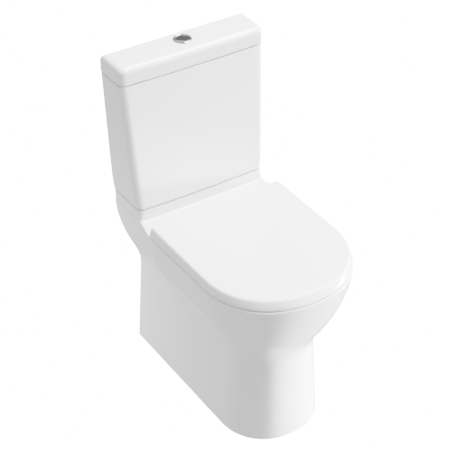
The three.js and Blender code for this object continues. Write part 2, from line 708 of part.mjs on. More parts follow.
for (const [side, s] of sides) {
  const x = s * HINGE.x;
  const y = HINGE.boltY;
  const flange = rod(9.6, RIM_TOP + CLEAR, RIM_TOP + 3.4, x, y);
  const postX = [x - POST.halfWidth, x + POST.halfWidth];
  const column = block(...postX, HINGE.y - 6.5, HINGE.y + 6.5, RIM_TOP + 2, HINGE.z);
  const knuckle = crossRod(6.8, ...postX, HINGE.y, HINGE.z);
  const pinHole = crossRod(HINGE.pin + CLEAR, x - 20, x + 20, HINGE.y, HINGE.z);
  const post = flange.add(column).add(knuckle).subtract(pinHole);
  add(`hinge_post_${side}`, post.subtract(rod(4.3, 430, RIM_TOP + 6, x, y, 12)), chrome);
  add(`hinge_pin_${side}`, crossRod(HINGE.pin, x - 32, x + 32, HINGE.y, HINGE.z), steel);
  add(`seat_bolt_${side}`, rod(4, 398, RIM_TOP + 5.6, x, y, 12), steel);
  const washer = tube(14, 4.3, RIM_UNDER - 3.3, RIM_UNDER - CLEAR, x, y, 12);
  add(`seat_washer_${side}`, washer, blackRubber);
  add(`seat_nut_${side}`, wingNut(x, y, RIM_UNDER - 3.6, 4), whitePlastic);
  const coverPad = new THREE.BoxGeometry(26, 12, COVER.top - COVER.skin - SEAT.top - 0.6);
  coverPad.translate(s * 140, -150, (COVER.top - COVER.skin + SEAT.top) / 2);
  add(`cover_buffer_${side}`, toSolid(coverPad), whiteRubber);
  const places = [
    ['front', 88, -248, 0.5],
    ['rear', 148, 60, Math.PI / 2],
  ];
  for (const [place, px, py, turn] of places) {
    const pad = new THREE.BoxGeometry(34, 11, SEAT.bottom - RIM_TOP - 0.6).rotateZ(s * turn);
    pad.translate(s * px, py, (SEAT.bottom + RIM_TOP) / 2);
    add(`ring_buffer_${place}_${side}`, toSolid(pad), whiteRubber);
  }
}

// ---------------------------------------------------------------- floor fixings
for (const [side, s] of sides) {
  const x = s * LUG.x;
  const top = LUG.top;
  const sleeveProfile = [
    [3.4, 1],
    [6, 1],
    [6, top + CLEAR],
    [11, top + CLEAR],
    [11, top + 3],
    [3.4, top + 3],
    [3.4, 1],
  ];
  const screwProfile = [
    [0, 1],
    [2.9, 1],
    [2.9, top + 3.3],
    [7, top + 3.3],
    [7, top + 7],
    [0, top + 8.5],
  ];
  add(`floor_sleeve_${side}`, turned(sleeveProfile, x, LUG.y, 12), whitePlastic);
  add(`floor_screw_${side}`, turned(screwProfile, x, LUG.y, 12), steel);
}

export default toilet;
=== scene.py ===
import json
import math

import bmesh
import bpy
import numpy as np
from mathutils import Matrix, Vector

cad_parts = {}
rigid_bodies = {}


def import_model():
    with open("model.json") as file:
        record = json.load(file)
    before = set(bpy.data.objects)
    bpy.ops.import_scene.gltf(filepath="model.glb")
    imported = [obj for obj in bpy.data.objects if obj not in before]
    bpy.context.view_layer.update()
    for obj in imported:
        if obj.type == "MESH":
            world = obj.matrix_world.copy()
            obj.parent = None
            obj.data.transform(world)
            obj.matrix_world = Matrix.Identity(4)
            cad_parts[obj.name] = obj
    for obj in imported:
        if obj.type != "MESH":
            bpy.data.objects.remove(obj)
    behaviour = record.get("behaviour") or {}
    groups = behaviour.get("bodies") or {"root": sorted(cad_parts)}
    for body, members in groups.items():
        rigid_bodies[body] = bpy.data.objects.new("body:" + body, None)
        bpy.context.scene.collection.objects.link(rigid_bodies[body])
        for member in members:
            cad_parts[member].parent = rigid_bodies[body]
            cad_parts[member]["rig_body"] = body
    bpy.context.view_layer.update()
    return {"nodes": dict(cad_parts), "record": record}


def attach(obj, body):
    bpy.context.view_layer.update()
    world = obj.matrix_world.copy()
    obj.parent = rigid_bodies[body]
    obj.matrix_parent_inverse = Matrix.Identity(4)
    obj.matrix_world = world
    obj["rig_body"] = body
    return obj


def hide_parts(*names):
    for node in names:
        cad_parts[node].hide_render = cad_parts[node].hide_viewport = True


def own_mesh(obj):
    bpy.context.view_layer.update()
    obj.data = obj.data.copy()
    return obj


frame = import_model()

# The close coupled toilet's visible surfaces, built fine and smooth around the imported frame.
# Shapes are worked out in millimetres, in the frame's own axes, and scaled to metres at the end.
MM = 0.001
NODE_SLOT = {s["node"]: s["material_slot"] for s in frame["record"]["subparts"]}
SIDES = (("left", -1), ("right", 1))

# ------------------------------------------------------------------ driving dimensions
WALL = 295
RIM_TOP = 448
DECK_TOP = 477
CHINA = 12
MIDDLE = -105
BLEND = 20
RIM = {"width": 184.5, "front": -295, "bend": -112}
FOOT = {"width": 124.5, "front": -223, "bend": -98}
FOOT_SLOPE = 0.06
SQUARENESS = 2.2
RIM_UNDER = RIM_TOP - 14
DECK_UNDER = DECK_TOP - 15
BOWL = {"depth": 200, "power": 1.7, "longest": 1.3, "narrows": 70, "shortens": 82, "waist": 12}
TANK = {
    "bottom": 478.5, "top": 805.5, "wall": 9, "floor": 14,
    "front": 173, "lean": 29, "width": 173, "flare": 18, "tuck": 3.5, "tuck_height": 22,
}
CORNER = 18.0
SOFT_EDGE = 0.8
LID = {"bottom": 806, "top": 848, "width": 192, "front": 201, "edge": 15}
VALVE_Y = 240
COUPLING_X = 72
FILL_X = 125
OUTLET = {"z": 180, "outer": 51, "inner": 43, "end": 262}
HINGE = {"x": 78, "y": 108, "z": 462.5, "pin": 4, "bolt_y": 103}
SEAT = {"bottom": 452, "top": 468, "inset": 8.6, "front": 13}
COVER = {"bottom": 449.6, "top": 474.7, "skin": 4.5, "back": 113}
BASIN = {"width": 122, "front": -252, "back": 62, "middle": -95, "sump": -49}
BASIN_LEVELS = [  # height and share of the full width and length
    (186, 0.25), (210, 0.36), (245, 0.47), (280, 0.61),
    (315, 0.75), (350, 0.87), (385, 0.96), (420, 1.0),
]
BASIN_LIP = {"z": 441, "radius": 7.08}
TRAP_BORE = 38
DUCT_BORE = 21
BUTTON = {"y": 251, "hole": 20.5, "sleeve": 18.8, "bore": 17.6, "underside": LID["top"] - 17}
BEZEL_FLOOR = BUTTON["underside"] - 12
FLOOR_TOP = TANK["bottom"] + TANK["floor"]
SEAT_LIP = FLOOR_TOP + 13
RECESS = DECK_TOP - 14
ROD_Y = BUTTON["y"] - 4
RODS = (("full", -7), ("half", 11))
SPLIT = 4
SPRING = {"radius": 4.2, "wire": 0.6, "turns": 3, "points": 90}
CAGE = {"bottom": FLOOR_TOP + 6.6, "window": 600, "neck": 622, "top": 752, "outer": 31, "inner": 29}
FILL = {"top": 700, "head": 728, "float_bottom": 605, "float_top": 668, "lever_z": 736}
LEVER = {"pivot": FILL_X - 10, "link": FILL_X + 24, "y": VALVE_Y}
LUG = {"x": 90, "y": 236, "top": 24}
BACK_WINDOW = {"half": 92, "top": 420, "turn": 30, "flare": 28}
HOLE = {"width": 102, "middle": -98, "front": 128, "back": 142}  # through the seat ring
GROOVE = {"lip": 1.5, "inner": 6, "depth": 11, "rim": 3.6, "base": 2.6}  # V grooves that show the seams
CLEAR = 0.3


# ------------------------------------------------------------------ solids
def solid(points, faces):
    """A closed mesh with its faces pointing out, as a scratch object in millimetres."""
    points = np.asarray(points, float)
    volume = 0.0
    for face in faces:
        a = points[face[0]]
        for b, c in zip(face[1:-1], face[2:]):
            volume += np.dot(a, np.cross(points[b], points[c]))
    if volume < 0:
        faces = [tuple(reversed(face)) for face in faces]
    mesh = bpy.data.meshes.new("scratch")
    mesh.from_pydata(points.tolist(), [], faces)
    obj = bpy.data.objects.new("scratch", mesh)
    bpy.context.scene.collection.objects.link(obj)
    return obj


def loft(rings):
    """A closed surface through rings with the same number of points, capped at both ends."""
    rings = np.asarray(rings, float)
    count, around = rings.shape[:2]
    faces = []
    for i in range(count - 1):
        for j in range(around):
            k = (j + 1) % around
            low, high = i * around, (i + 1) * around
            faces.append((low + j, low + k, high + k, high + j))
    faces.append(tuple(reversed(range(around))))
    faces.append(tuple(range((count - 1) * around, count * around)))
    return solid(rings.reshape(-1, 3), faces)


def place(u, v, w, centre, axis):
    """Cross section (u, v) and distance w along an axis through a centre, as a point."""
    x, y, z = centre
    if axis == "X":
        return (w, y + u, z + v)
    if axis == "Y":
        return (x + u, w, z + v)
    return (x + u, y + v, w)


def turned(profile, x=0, y=0, z=0, around=64, axis="Z"):
    """A solid turned about a line along an axis from (radius, distance) pairs."""
    closed = tuple(profile[0]) == tuple(profile[-1])
    rows = profile[:-1] if closed else profile
    points, index = [], []
    for radius, w in rows:
        start = len(points)
        if radius == 0:
            points.append(place(0, 0, w, (x, y, z), axis))
            index.append([start] * around)
            continue
        for j in range(around):
            t = 2 * math.pi * j / around
            points.append(place(radius * math.cos(t), radius * math.sin(t), w, (x, y, z), axis))
        index.append(list(range(start, start + around)))
    faces = []
    pairs = list(zip(index[:-1], index[1:])) + ([(index[-1], index[0])] if closed else [])
    for a, b in pairs:
        for j in range(around):
            k = (j + 1) % around
            corners = list(dict.fromkeys((a[j], a[k], b[k], b[j])))
            if len(corners) > 2:
                faces.append(tuple(corners))
    return solid(points, faces)


def rod(radius, low, high, x=0, y=0, z=0, around=48, axis="Z", edge=0.0):
    if edge:
        turns = (0, 0.52, 1.05, 1.57)
        bend = [(radius - edge * (1 - math.sin(t)), edge * (1 - math.cos(t))) for t in turns]
        rows = [(0, low)] + [(r, low + d) for r, d in bend]
        rows += [(r, high - d) for r, d in reversed(bend)] + [(0, high)]
        return turned(rows, x, y, z, around, axis)
    return turned([(0, low), (radius, low), (radius, high), (0, high)], x, y, z, around, axis)


def tube(outer, bore, low, high, x=0, y=0, around=48, edge=0.6):
    outside_edge = [(outer - edge, low), (outer, low + edge), (outer, high - edge), (outer - edge, high)]
    bore_edge = [(bore + edge, high), (bore, high - edge), (bore, low + edge), (bore + edge, low)]
    return turned(outside_edge + bore_edge + outside_edge[:1], x, y, 0, around)


def on_hinge(radius, low, high, around=32, edge=0.0):
    """A rod along the seat's hinge line."""
    return rod(radius, low, high, 0, HINGE["y"], HINGE["z"], around, "X", edge)


def on_outlet(radius, low):
    """A rod along the outlet's line, up to its end."""
    return rod(radius, low, OUTLET["end"], 0, 0, OUTLET["z"], 64, "Y")


def block(x0, x1, y0, y1, z0, z1):
    points = [(x, y, z) for z in (z0, z1) for y in (y0, y1) for x in (x0, x1)]
    faces = [(0, 2, 3, 1), (4, 5, 7, 6), (0, 1, 5, 4), (2, 6, 7, 3), (0, 4, 6, 2), (1, 3, 7, 5)]
    return solid(points, faces)


def pipe(path, radius, around=32):
    """A round section swept along points."""
    path = np.asarray(path, float)
    tangents = np.gradient(path, axis=0)
    tangents /= np.linalg.norm(tangents, axis=1)[:, None]
    side = np.cross(tangents[0], (1, 0, 0))
    if np.linalg.norm(side) < 0.1:
        side = np.cross(tangents[0], (0, 0, 1))
    rings = []
    for point, tangent in zip(path, tangents):
        side = side - tangent * np.dot(side, tangent)
        side = side / np.linalg.norm(side)
        other = np.cross(tangent, side)
        turn = 2 * np.pi * np.arange(around) / around
        rings.append(point + radius * (np.outer(np.cos(turn), side) + np.outer(np.sin(turn), other)))
    return loft(rings)


def settle(obj):
    """Applies an object's modifiers to its mesh."""
    graph = bpy.context.evaluated_depsgraph_get()
    mesh = bpy.data.meshes.new_from_object(obj.evaluated_get(graph))
    old = obj.data
    obj.modifiers.clear()
    obj.data = mesh
    bpy.data.meshes.remove(old)
    return obj


def combine(a, b, operation):
    modifier = a.modifiers.new("cut", "BOOLEAN")
    modifier.object = b
    modifier.operation = operation
    modifier.solver = "MANIFOLD"
    settle(a)
    bpy.data.objects.remove(b)
    return a


def add(a, *others):
    for b in others:
        a = combine(a, b, "UNION")
    return a


def cut(a, *others):
    for b in others:
        a = combine(a, b, "DIFFERENCE")
    return a


def meet(a, b):
    return combine(a, b, "INTERSECT")


def largest(obj):
    """Drops all but the largest connected part."""
    bm = bmesh.new()
    bm.from_mesh(obj.data)
    left, parts = set(bm.verts), []
    while left:
        stack, part = [left.pop()], []
        while stack:
            vertex = stack.pop()
            part.append(vertex)
            for edge in vertex.link_edges:
                other = edge.other_vert(vertex)
                if other in left:
                    left.remove(other)
                    stack.append(other)
        parts.append(part)
    parts.sort(key=len)
    for part in parts[:-1]:
        bmesh.ops.delete(bm, geom=part, context="VERTS")
    bm.to_mesh(obj.data)
    bm.free()
    return obj


# ------------------------------------------------------------------ curves
def smooth_rows(rows, steps):
    """More rows between the given ones, on a smooth curve that never overshoots them."""
    rows = np.asarray(rows, float)
    t = np.concatenate([[0], np.cumsum(np.linalg.norm(np.diff(rows[:, :2], axis=0), axis=1))])
    h = np.diff(t)
    slope = np.diff(rows, axis=0) / h[:, None]
    tangent = np.zeros_like(rows)
    tangent[0], tangent[-1] = slope[0], slope[-1]
    for i in range(1, len(rows) - 1):
        same = slope[i - 1] * slope[i] > 0
        w1, w2 = 2 * h[i] + h[i - 1], h[i] + 2 * h[i - 1]
        safe = np.where(same, slope[i - 1], 1), np.where(same, slope[i], 1)
        tangent[i] = np.where(same, (w1 + w2) / (w1 / safe[0] + w2 / safe[1]), 0)
    made = []
    for i in range(len(rows) - 1):
        for s in np.arange(steps) / steps:
            a, b = 2 * s**3 - 3 * s**2 + 1, s**3 - 2 * s**2 + s
            c, d = -2 * s**3 + 3 * s**2, s**3 - s**2
            start = a * rows[i] + b * h[i] * tangent[i]
            made.append(start + c * rows[i + 1] + d * h[i] * tangent[i + 1])
    made.append(rows[-1])
    return np.array(made)


def arc(centre, radius, start, stop, steps):
    """Points on an arc, from angle start to stop in degrees."""
    t = np.radians(np.linspace(start, stop, steps + 1))
    return [(centre[0] + radius * math.cos(a), centre[1] + radius * math.sin(a)) for a in t]


def level(outline, z):
    return [(x, y, z) for x, y in outline]


# ------------------------------------------------------------------ the pan's outer form
def ease(low, high, t):
    s = np.clip((t - low) / (high - low), 0, 1)
    return s * s * (3 - 2 * s)


def outside(x, y, width, front, bend, waist):
    """How far a point lies outside a plan outline."""
    across = np.abs(x)
    side = across - width + waist * ease(105, 180, y)
    forward = np.maximum(bend - y, 0) / (bend - front)
    n = SQUARENESS
    rounded = (((across / width) ** n + forward**n) ** (1 / n) - 1) * width
    return np.where(y > bend, side, rounded)


def form_outside(x, y, z):
    """Bowl and foot joined with a soft fold."""
    drop = min(max((RIM_TOP - z) / BOWL["depth"], 0), BOWL["longest"]) ** BOWL["power"]
    width = RIM["width"] - BOWL["narrows"] * drop
    a = outside(x, y, width, RIM["front"] + BOWL["shortens"] * drop, RIM["bend"], BOWL["waist"])
    slope = FOOT_SLOPE * z
    b = outside(x, y, FOOT["width"] - slope, FOOT["front"] + slope, FOOT["bend"], 0)
    near = np.maximum(BLEND - np.abs(a - b), 0) / BLEND
    return np.minimum(a, b) - near * near * BLEND / 4


def reach(y, angle, z, inset):
    """How far the form goes from (0, y) at an angle, found by halving."""
    near = np.full(np.broadcast(y, angle).shape, 10.0)
    far = np.full(near.shape, 400.0)
    for _ in range(36):
        r = (near + far) / 2
        out = form_outside(r * np.cos(angle), y + r * np.sin(angle), z) + inset > 0
        far = np.where(out, r, far)
        near = np.where(out, near, r)
    return near


FRONT_ANGLES = np.radians(np.arange(-90, -1, 2.5))


def form_ring(z, inset=0.0, corner=3.5):
    """The form's outline at a height, moved in by an inset and flat at the wall."""
    r = reach(MIDDLE, FRONT_ANGLES, z, inset)
    half = list(zip(r * np.cos(FRONT_ANGLES), MIDDLE + r * np.sin(FRONT_ANGLES)))
    back = WALL - inset
    stations = np.concatenate([[-105, -80, -45, -10, 25, 60, 90], np.arange(105, 181, 7.5)])
    stations = np.concatenate([stations, np.linspace(190, back - corner, 7)])
    half += list(zip(reach(stations, 0.0, z, inset), stations))
    edge = float(reach(np.array([back]), 0.0, z, inset)[0]) - corner
    half += arc((edge, back - corner), corner, 18, 90, 4)
    mirror = [(-x, y) for x, y in reversed(half[1:])]
    return level(half + mirror, z)


# ------------------------------------------------------------------ basin, trap and flush duct
def basin(grow=0.0):
    """The bowl's hollow with its rounded lip, or its outer wall when it is grown."""
    rings = []
    rows = [tuple(row) for row in smooth_rows(BASIN_LEVELS, 5)]
    extra = [0.0] * len(rows)
    if grow == 0:
        turns = [math.radians(a) for a in np.linspace(0, 81, 9)]
        rows += [(BASIN_LIP["z"] + BASIN_LIP["radius"] * math.sin(a), 1.0) for a in turns]
        extra += [BASIN_LIP["radius"] * (1 - math.cos(a)) for a in turns]
        rows.append((460, 1.0))
        extra.append(8.0)
    else:
        rows.append((470, 1.0))
        extra.append(0.0)
    for (z, share), more in zip(rows, extra):
        middle = BASIN["sump"] + (BASIN["middle"] - BASIN["sump"]) * share
        out = grow + more
        ring = []
        for i in range(96):
            t = 2 * math.pi * i / 96
            end = BASIN["front"] if math.sin(t) < 0 else BASIN["back"]
            length = abs(end - BASIN["middle"]) * share + out
            x = (BASIN["width"] * share + out) * math.cos(t)
            ring.append((x, middle + length * math.sin(t), z - grow))
        rings.append(ring)
    return loft(rings)


def trap_line():
    """Down from the sump, up over the weir and down to the outlet."""
    line = [(-60, 214), (-60, 198)]
    line += arc((-10, 182), 50, 180, 330, 20)
    line += arc((126, 204), 50, 150, 30, 16)[1:]
    line += arc((228, 230), 50, 210, 270, 8)[1:]
    return [(0, y, z) for y, z in line]


def duct_line():
    """From under the flush valve down and forward to the bowl's rim."""
    nodes = [(240, 450), (236, 436), (226, 422), (206, 413), (170, 408), (120, 406), (60, 406), (20, 406)]
    return [(0, y, z) for y, z in smooth_rows(nodes, 4)]


# ------------------------------------------------------------------ plans of the tank, platform and lid
def tank_plan(width, front, back, inset=0.0, round_=CORNER, bow=2.5):
    """A plan with a bowed front, rounded front corners and small back corners."""
    w, f, b = width - inset, front + inset, back - inset
    r = max(round_ - inset, 6)
    small = max(4 - inset / 2, 2)
    half = []
    for s in np.linspace(0, 1, 15)[1:]:
        half.append((s * (w - r), f - bow * (1 - s * s)))
    half += arc((w - r, f + r), r, -90, 0, 12)[1:]
    half += [(w, y) for y in np.linspace(f + r, b - small, 5)[1:-1]]
    half += arc((w - small, b - small), small, 0, 90, 5)
    half += [(x, b) for x in np.linspace(w - small, 0, 8)[1:-1]]
    mirror = [(-x, y) for x, y in reversed(half)]
    return [(0, f - bow)] + half + [(0, b)] + mirror


def tank_at(z):
    """The tank's half width and front at a height: it leans, flares and tucks in at the foot."""
    up = min(max((z - TANK["bottom"]) / (TANK["top"] - TANK["bottom"]), 0), 1)
    tuck = TANK["tuck"] * (1 - math.exp(-(z - TANK["bottom"]) / TANK["tuck_height"]))
    return TANK["width"] + (TANK["flare"] - TANK["tuck"]) * up + tuck, TANK["front"] + TANK["lean"] * up


def tank_ring(z, inset=0.0):
    width, front = tank_at(z)
    return level(tank_plan(width, front, WALL, inset), z)


def edge_rows(z, inset, radius, top=True, steps=6):
    """(height, inset) rows that round an edge, from the side over to the cap."""
    rows = []
    up = 1 if top else -1
    for a in np.radians(np.linspace(0, 90, steps + 1)):
        rows.append((z + (-radius + radius * math.sin(a)) * up, inset + radius * (1 - math.cos(a))))
    return rows if top else rows[::-1]


# ------------------------------------------------------------------ materials
def node(tree, kind, **values):
    made = tree.nodes.new(kind)
    for key, value in values.items():
        setattr(made, key, value)
    return made


def noise(tree, scale, detail=2.0, roughness=0.5, stretch=None):
    """A noise texture in the piece's own coordinates, in metres."""
    where = node(tree, "ShaderNodeTexCoord")
    source = where.outputs["Object"]
    if stretch:
        mapping = node(tree, "ShaderNodeMapping")
        mapping.inputs["Scale"].default_value = stretch
        tree.links.new(source, mapping.inputs["Vector"])
        source = mapping.outputs["Vector"]
    made = node(tree, "ShaderNodeTexNoise")
    made.inputs["Scale"].default_value = scale
    made.inputs["Detail"].default_value = detail
    made.inputs["Roughness"].default_value = roughness
    tree.links.new(source, made.inputs["Vector"])
    return made.outputs["Fac"]


def spread(tree, factor, low, high):
    """A factor's middle range mapped to low .. high."""
    made = node(tree, "ShaderNodeMapRange")
    made.inputs["From Min"].default_value = 0.3
    made.inputs["From Max"].default_value = 0.7
    made.inputs["To Min"].default_value = low
    made.inputs["To Max"].default_value = high
    tree.links.new(factor, made.inputs["Value"])
    return made.outputs["Result"]


def tinted(tree, factor, first, second):
    made = node(tree, "ShaderNodeMix", data_type="RGBA")
    made.inputs["A"].default_value = (*first, 1)
    made.inputs["B"].default_value = (*second, 1)
    tree.links.new(factor, made.inputs["Factor"])
    return made.outputs["Result"]


def bump(tree, height, distance, strength=1.0, normal=None):
    made = node(tree, "ShaderNodeBump")
    made.inputs["Strength"].default_value = strength
    made.inputs["Distance"].default_value = distance
    tree.links.new(height, made.inputs["Height"])
    if normal:
        tree.links.new(normal, made.inputs["Normal"])
    return made.outputs["Normal"]


def material(
    name, tones, rough, grain, metallic=0.0, coat=0.0, ripple=None, soft_edge=0.0, stretch=None
):
    """tones: two colours mixed by broad patches. rough: lowest and highest roughness.
    grain and ripple: (noise scale per metre, height in metres) of the fine and the broad relief."""
    made = bpy.data.materials.new(name)
    made.use_nodes = True
    tree = made.node_tree
    shader = tree.nodes["Principled BSDF"]
    shader.inputs["Metallic"].default_value = metallic
    shader.inputs["Coat Weight"].default_value = coat
    shader.inputs["Coat Roughness"].default_value = 0.04
    tree.links.new(tinted(tree, spread(tree, noise(tree, 9), 0, 1), *tones), shader.inputs["Base Color"])
    tree.links.new(spread(tree, noise(tree, 55, 3.0, stretch=stretch), *rough), shader.inputs["Roughness"])
    normal = None
    if soft_edge:
        rounded = node(tree, "ShaderNodeBevel", samples=4)
        rounded.inputs["Radius"].default_value = soft_edge
        normal = rounded.outputs["Normal"]
    if ripple:
        normal = bump(tree, noise(tree, ripple[0], 1.0), ripple[1], normal=normal)
    normal = bump(tree, noise(tree, grain[0], 3.0, stretch=stretch), grain[1], normal=normal)
    tree.links.new(normal, shader.inputs["Normal"])
    return made


def unglazed(made, tone):
    """Bare clay where the china stood in the kiln and where it faces the wall."""
    tree = made.node_tree
    shader = tree.nodes["Principled BSDF"]
    where = node(tree, "ShaderNodeTexCoord")
    split = node(tree, "ShaderNodeSeparateXYZ")
    tree.links.new(where.outputs["Object"], split.inputs["Vector"])
    masks = []
    for axis, limit, operation in (("Z", 0.0012, "LESS_THAN"), ("Y", 0.2944, "GREATER_THAN")):
        test = node(tree, "ShaderNodeMath", operation=operation)
        test.inputs[1].default_value = limit
        tree.links.new(split.outputs[axis], test.inputs[0])
        masks.append(test.outputs["Value"])
    both = node(tree, "ShaderNodeMath", operation="MAXIMUM")
    tree.links.new(masks[0], both.inputs[0])
    tree.links.new(masks[1], both.inputs[1])
    for socket, value in (("Base Color", (*tone, 1)), ("Roughness", 0.72)):
        source = shader.inputs[socket].links[0].from_socket
        mixed = node(tree, "ShaderNodeMix", data_type="RGBA" if socket == "Base Color" else "FLOAT")
        tree.links.new(both.outputs["Value"], mixed.inputs["Factor"])
        first, second = [s for s in mixed.inputs if s.enabled and s.name in "AB"]
        tree.links.new(source, first)
        second.default_value = value
        result = [s for s in mixed.outputs if s.enabled][0]
        tree.links.new(result, shader.inputs[socket])
    return made


WHITE = ((0.86, 0.86, 0.855), (0.88, 0.88, 0.875))
SEAT_WHITE = ((0.87, 0.87, 0.865), (0.89, 0.89, 0.885))
CHROME = ((0.60, 0.61, 0.62), (0.66, 0.67, 0.68))
STEEL = ((0.50, 0.50, 0.50), (0.58, 0.58, 0.59))
BRASS = ((0.62, 0.47, 0.20), (0.72, 0.56, 0.27))
BLACK_RUBBER = ((0.018, 0.018, 0.019), (0.035, 0.034, 0.034))
WHITE_RUBBER = ((0.66, 0.66, 0.65), (0.74, 0.74, 0.73))
WHITE_PLASTIC = ((0.76, 0.77, 0.77), (0.82, 0.82, 0.81))
GREY_PLASTIC = ((0.22, 0.24, 0.25), (0.30, 0.32, 0.33))
BLUE_PLASTIC = ((0.018, 0.10, 0.27), (0.03, 0.15, 0.36))
BARE_CLAY = (0.74, 0.70, 0.62)


def metal(name, tones, rough, grain, stretch=None):
    return material(name, tones, rough, grain, metallic=1.0, stretch=stretch)


def glazed_china():
    glaze = material(
        "glazed_china", WHITE, (0.05, 0.085), (420, 2e-6), coat=0.4, ripple=(14, 5e-5), soft_edge=0.0012
    )
    return unglazed(glaze, BARE_CLAY)


MATERIALS = {
    "china": glazed_china(),
    "duroplast": material("moulded_seat", SEAT_WHITE, (0.09, 0.13), (900, 3e-6), ripple=(18, 2e-5)),
    "chrome": metal("polished_chrome", CHROME, (0.06, 0.12), (1500, 1e-6)),
    "steel": metal("stainless_steel", STEEL, (0.24, 0.38), (2500, 6e-6), stretch=(1, 1, 0.15)),
    "brass": metal("turned_brass", BRASS, (0.22, 0.36), (2500, 6e-6), stretch=(1, 1, 6)),
    "black_rubber": material("black_rubber", BLACK_RUBBER, (0.62, 0.82), (1800, 2.5e-5)),
    "white_rubber": material("white_rubber", WHITE_RUBBER, (0.55, 0.75), (1800, 2e-5)),
    "white_plastic": material("white_plastic", WHITE_PLASTIC, (0.30, 0.44), (2200, 6e-6)),
    "grey_plastic": material("grey_plastic", GREY_PLASTIC, (0.34, 0.50), (2200, 8e-6)),
    "blue_plastic": material("blue_plastic", BLUE_PLASTIC, (0.30, 0.45), (2200, 6e-6)),
}


# ------------------------------------------------------------------ finished pieces
def show(name, obj, crease=32, bevel=0.0, also=()):
    """Turns a scratch solid into the visible piece for a CAD node, and for any others it takes in."""
    if bevel:
        modifier = obj.modifiers.new("edge", "BEVEL")
        modifier.width = bevel
        modifier.segments = 2
        modifier.limit_method = "ANGLE"
        modifier.angle_limit = math.radians(50)
        settle(obj)
    bm = bmesh.new()
    bm.from_mesh(obj.data)
    bmesh.ops.remove_doubles(bm, verts=bm.verts, dist=1e-3)
    bmesh.ops.dissolve_degenerate(bm, edges=bm.edges, dist=1e-4)
    for face in bm.faces:
        face.smooth = True
    for edge in bm.edges:
        if len(edge.link_faces) == 2:
            edge.smooth = edge.calc_face_angle(0) < math.radians(crease)
    bm.transform(Matrix.Scale(MM, 4))
    bm.to_mesh(obj.data)
    bm.free()
    modifier = obj.modifiers.new("normals", "WEIGHTED_NORMAL")
    modifier.keep_sharp = True
    modifier.weight = 50
    settle(obj)
    obj.name = "fine_" + name
    obj.data.name = obj.name
    obj.data.materials.clear()
    obj.data.materials.append(MATERIALS[NODE_SLOT[name]])
    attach(obj, frame["nodes"][name]["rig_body"])
    for node_name in (name, *also):
        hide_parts(node_name)
    return obj


def make_platform():
    """The tank's platform, with a fillet down to the rim and a groove along its top edge."""
    toe, inner = 6, GROOVE["inner"]
    fillet = [(436, -toe), (RIM_TOP - 0.1, -toe)]
    for a in np.radians(np.linspace(80, 0, 9)):
        fillet.append((RIM_TOP + toe * (1 - math.sin(a)), -toe * (1 - math.cos(a))))
    fillet += edge_rows(DECK_TOP - 0.4, 0, SOFT_EDGE, steps=3)
    fillet += [(DECK_TOP - 0.7, GROOVE["lip"]), (DECK_TOP - 7, inner), (DECK_TOP, inner + 0.5)]
    plans = []
    for z, inset in fillet:
        corner = 8 + 10 * ease(RIM_TOP, DECK_TOP, z)
        plans.append(level(tank_plan(TANK["width"], TANK["front"], WALL, inset, round_=corner), z))
    return meet(loft(plans), loft([form_ring(z, 0.04) for z in (430, 500)]))


def pan_hollow():
    """What the casting leaves empty, around the walls of the bowl, trap, outlet and duct."""
    inside = basin(CHINA)
    inside = add(inside, pipe(trap_line(), 48), on_outlet(OUTLET["outer"], 200))
    boss = rod(52, RIM_UNDER - 10, DECK_TOP - 5, 0, VALVE_Y, around=64)
    inside = add(inside, pipe(duct_line(), 31), boss)
    hollow = loft([form_ring(z, CHINA) for z in [*np.arange(-20, 430, 15), RIM_UNDER]])
    hollow = add(hollow, block(-158, 158, 194, WALL - CHINA, RIM_UNDER - 4, DECK_UNDER))
    return cut(hollow, inside)


def back_window():
    """The opening in the back of the foot, around the outlet."""
    half, top, turn = BACK_WINDOW["half"], BACK_WINDOW["top"], BACK_WINDOW["turn"]
    wide = half + BACK_WINDOW["flare"]
    outline = [(half, -20), (half, 296)] + arc((half + 16, 300), 16, 180, 140, 4) + [(wide, 350)]
    outline += arc((wide - turn, top - turn), turn, 0, 90, 8)
    outline += [(-x, z) for x, z in reversed(outline)]
    window = loft([[(x, y, z) for x, z in outline] for y in (260, 340)])
    return cut(window, on_outlet(OUTLET["outer"], 190))


def make_pan():
    rows = edge_rows(0, 0, 2.0, top=False, steps=3)
    heights = [*np.arange(20, 200, 20), *np.arange(200, 300, 6), *np.arange(300, 441, 10)]
    rows += [(z, 0) for z in heights]
    rows += edge_rows(RIM_TOP, 0, 4.0)
    outer = loft([form_ring(z, inset) for z, inset in rows])
    pan = cut(add(outer, make_platform()), pan_hollow())
    for _, s in SIDES:
        low, high = sorted((s * (LUG["x"] - 16), s * (LUG["x"] + 24)))
        lug = block(low, high, LUG["y"] - 20, LUG["y"] + 20, 0, LUG["top"])
        pan = add(pan, meet(lug, loft([form_ring(z, 1.0) for z in (-1, 20, 40)])))
    pan = cut(pan, back_window(), basin(0), pipe(trap_line(), TRAP_BORE))
    outlet = rod(OUTLET["inner"], 216, 300, 0, 0, OUTLET["z"], 64, "Y")
    pan = cut(pan, outlet, pipe(duct_line(), DUCT_BORE))
    recess = rod(44, RECESS, 500, 0, VALVE_Y, around=64)
    pan = cut(pan, recess, rod(27, 444, 480, 0, VALVE_Y))
    pan = cut(pan, rod(19, 420, 500, FILL_X, VALVE_Y, around=32))
    for _, s in SIDES:
        pan = cut(pan, rod(6, 420, 500, s * COUPLING_X, VALVE_Y, around=32))
        pan = cut(pan, rod(6, 400, 500, s * HINGE["x"], HINGE["bolt_y"], around=32))
        pan = cut(pan, rod(6.5, -10, 40, s * LUG["x"], LUG["y"], around=32))
    show("pan", largest(pan), also=("pan_platform", "pan_basin", "pan_trapway", "pan_flush_duct"))


